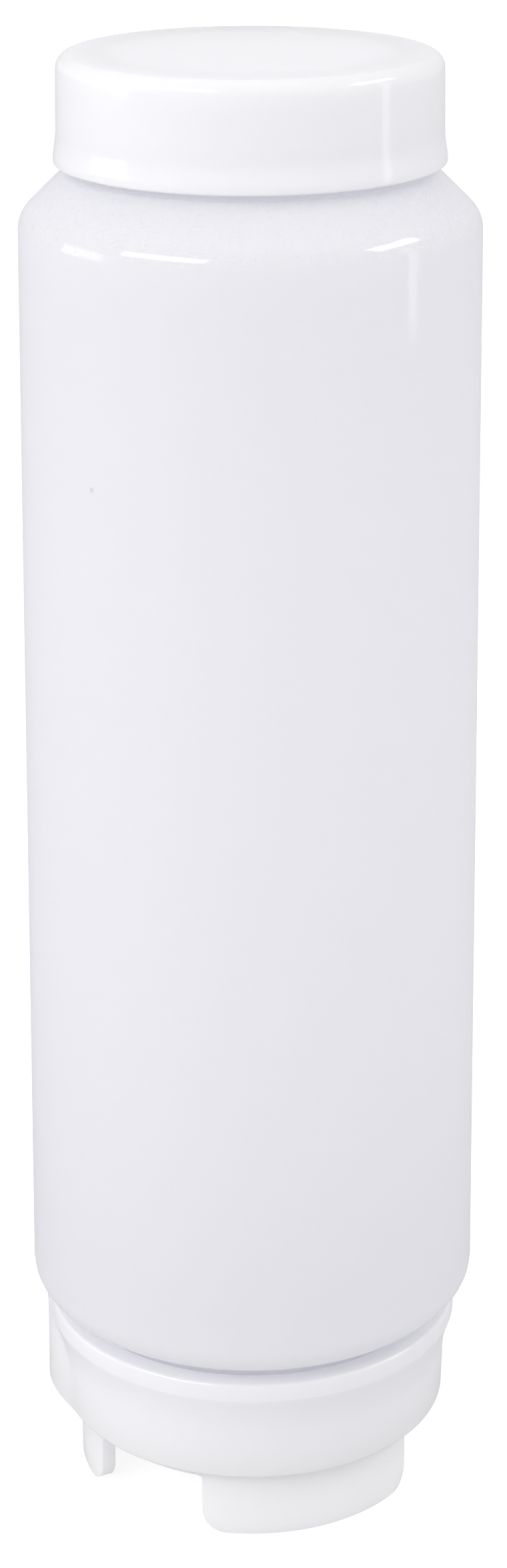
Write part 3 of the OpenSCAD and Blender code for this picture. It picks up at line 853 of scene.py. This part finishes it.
lip_faces = []
wall_levels = (-1.0, FOOT_CORNER, FOOT_H - GAP_CORNER, FOOT_H, UNDER_Z, LIP_TOP, lid_z)
top_rows = ((lid_r, lid_z), (plug_r, lid_z), (plug_r, PLUG_TOP), (plug_in_r, PLUG_TOP),
            (plug_in_r, PLUG_FLOOR), (0, PLUG_FLOOR))
under_rows = ((foot_in_r, FOOT_H), (foot_in_r - 0.5, UNDER_Z), (DIMPLE_R, UNDER_Z),
              (plug_in_r, DIMPLE_Z), (0, DIMPLE_Z))
for (turn_a, low_a), (turn_b, low_b) in zip(columns, columns[1:] + columns[:1]):
    for low, high in zip(wall_levels, wall_levels[1:]):
        corners = [(turn_a, max(low, low_a)), (turn_b, max(low, low_b)),
                   (turn_b, max(high, low_b)), (turn_a, max(high, low_a))]
        made_face = face(*(spot(turn, lid_r, z) for turn, z in corners))
        middle = (turn_a + turn_b) / 2 % 360
        if made_face and low == UNDER_Z and min(middle, 360 - middle) < LIP_HALF:
            lip_faces.append(made_face)
        if high <= FOOT_H:
            face(*(spot(turn, foot_in_r, z) for turn, z in corners))
    face(spot(turn_a, lid_r, low_a), spot(turn_b, lid_r, low_b),
         spot(turn_b, foot_in_r, low_b), spot(turn_a, foot_in_r, low_a))
    for rows in (top_rows, under_rows):
        for (r_in, z_in), (r_out, z_out) in zip(rows, rows[1:]):
            face(spot(turn_a, r_in, z_in), spot(turn_b, r_in, z_in),
                 spot(turn_b, r_out, z_out), spot(turn_a, r_out, z_out))
grown = bmesh.ops.extrude_face_region(work, geom=lip_faces)
for part in grown["geom"]:
    if isinstance(part, bmesh.types.BMVert):
        turn = math.degrees(math.atan2(part.co.y, part.co.x))
        thin = smooth_fade(LIP_HALF - abs(turn), 0, LIP_FADE) * LIP_THIN
        part.co.xy *= 1 + LIP_OUT / lid_r * (1 - thin)
bmesh.ops.delete(work, geom=lip_faces, context="FACES")
bmesh.ops.recalc_face_normals(work, faces=work.faces)
sharp = [edge for edge in work.edges
         if edge.is_manifold and edge.calc_face_angle_signed() > SHARP_TURN]
bmesh.ops.bevel(work, geom=sharp, offset=EDGE * MM, segments=3, profile=0.5, affect="EDGES",
                clamp_overlap=True)
mesh = bpy.data.meshes.new("flip_cap_shell")
work.to_mesh(mesh)
work.free()
flip_cap = bpy.data.objects.new("flip_cap_shell", mesh)
flip_cap.data.materials.append(cap_plastic)
scene.collection.objects.link(flip_cap)
web_x = pin_x - foot_in_r - 0.4
knuckle_outline = arc_points(knuckle_r, 0, 360 + WEB_TURN, 32) + [
    web_foot, (web_x, UNDER_Z - pin_z), (web_x, LIP_TOP - pin_z), (knuckle_r, LIP_TOP - pin_z)]
knuckle = hinge_prism("knuckle", knuckle_outline, -KNUCKLE_HALF, KNUCKLE_HALF, KNUCKLE_EDGE)
knuckle_bore = hinge_prism("bore", arc_points(pin_r + pin_run, 0, 350, 35),
                           -2 * KNUCKLE_HALF, 2 * KNUCKLE_HALF)
merged(flip_cap, "UNION", [knuckle])
merged(flip_cap, "DIFFERENCE", [knuckle_bore])
tidy_faces(flip_cap, FLIP_CAP_SMOOTH)
stand_for(flip_cap, "flip_cap", "flip_cap")


# Lower seal
# Flat silicone ring that the lower neck presses on the dispensing cap's floor. It is punched from a
# pressed sheet and lies round the cap's low ring, which centres it.
lower_seal_in_r = 26.1
lower_seal_out_r = 28.7
SEAL_EDGE = 0.3


def seal_outline(node_name, r_in, r_out):
    """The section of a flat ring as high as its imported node."""
    low, high = level[node_name]
    return [(r, z, SEAL_EDGE) for r, z in ((r_in, low), (r_out, low), (r_out, high), (r_in, high))]


lower_seal_outline = seal_outline("dispensing_cap_seal", lower_seal_in_r, lower_seal_out_r)
lower_seal = turned("lower_seal_ring", lower_seal_outline, True, silicone, RING_STEPS)
stand_for(lower_seal, "lower_seal", "dispensing_cap_seal")


# Bottle body
# Blow moulded in one piece from low-density polyethylene, with a threaded neck at each end, a
# rounded lower shoulder and a sloped upper shoulder.
body_r = reach["bottle_body"]
base_z = mouth_z + 2.3
step_z = level["refill_cap"][0] - 1.3
WALL = 1.4
neck_lo_r = 28.5
neck_hi_r = 27.0
NECK_WALL = 1.9
slope_z = 212.4
slope_end_r = 29.3
NECK_TURNS = 1.5
body_outline = [
    (neck_lo_r - NECK_WALL, neck_lo_z, 0.4), (neck_lo_r, neck_lo_z, 0.5), (neck_lo_r, base_z, 0.9),
    (body_r, base_z, 4.6), (body_r, slope_z, 5.3), (slope_end_r, step_z, 1.6),
    (neck_hi_r, step_z, 0.9), (neck_hi_r, neck_hi_z, 0.5), (neck_hi_r - NECK_WALL, neck_hi_z, 0.4),
    (neck_hi_r - NECK_WALL, step_z - WALL, 1.4), (slope_end_r - 0.6, step_z - WALL, 1.0),
    (body_r - WALL, slope_z - 0.6, 3.9), (body_r - WALL, base_z + WALL, 3.2),
    (neck_lo_r - NECK_WALL, base_z + WALL, 1.4)]
bottle = turned("bottle_shell", body_outline, True, body_plastic)


def neck_thread(radius, plastic):
    """The thread of a neck whose end is at height 0 and points up."""
    return thread(radius, True, -360 * NECK_TURNS, NECK_TURNS,
                  -THREAD_TOP - THREAD_PITCH * NECK_TURNS, plastic)


upper_ridge = set_at(neck_thread(neck_hi_r, body_plastic),
                     Matrix.Translation((0, 0, neck_hi_z * MM)))
lower_ridge = set_at(neck_thread(neck_lo_r, body_plastic),
                     Matrix.Translation((0, 0, neck_lo_z * MM))
                     @ Matrix.Rotation(math.pi, 4, "X"))
merged(bottle, "UNION", [upper_ridge, lower_ridge])
tidy_faces(bottle)
stand_for(bottle, "bottle", "bottle_body")


# Upper seal
# Flat silicone ring, punched like the lower one, that the refill cap presses on the upper neck. The
# ring under the cap's ceiling centres it.
upper_seal_in_r = 24.6
upper_seal_out_r = 27.9
upper_seal_outline = seal_outline("refill_cap_seal", upper_seal_in_r, upper_seal_out_r)
upper_seal = turned("upper_seal_ring", upper_seal_outline, True, silicone, RING_STEPS)
stand_for(upper_seal, "upper_seal", "refill_cap_seal")


# Refill cap
# Wide screw cap of white polypropylene, injection moulded, with a plain rounded top edge and a rim
# that flares a little.
refill_z, top_z = level["refill_cap"]
refill_in_z = neck_hi_z + 1.6
refill_bore_r = 28.6
centring_in_r = 23.0
centring_out_r = 24.4
centring_z = refill_in_z - 3.0
refill_outline = [
    (0, refill_in_z, 0), (centring_in_r, refill_in_z, 0.4), (centring_in_r, centring_z, 0.4),
    (centring_out_r, centring_z, 0.4), (centring_out_r, refill_in_z, 0.2),
    (refill_bore_r, refill_in_z, 0.8), (refill_bore_r, refill_z, 0.3), (30.9, refill_z, 0.35),
    (30.85, refill_z + 1.3, 2.0), (30.42, refill_z + 4.2, 12.0), (30.3, top_z, 2.3),
    (0, top_z, 0)]
refill = turned("refill_cap_shell", refill_outline, False, cap_plastic)
ridge = set_at(cap_thread(refill_bore_r, neck_hi_z - refill_z, cap_plastic),
               Matrix.Translation((0, 0, neck_hi_z * MM)))
merged(refill, "UNION", [ridge])
tidy_faces(refill)
stand_for(refill, "refill_cap", "refill_cap")
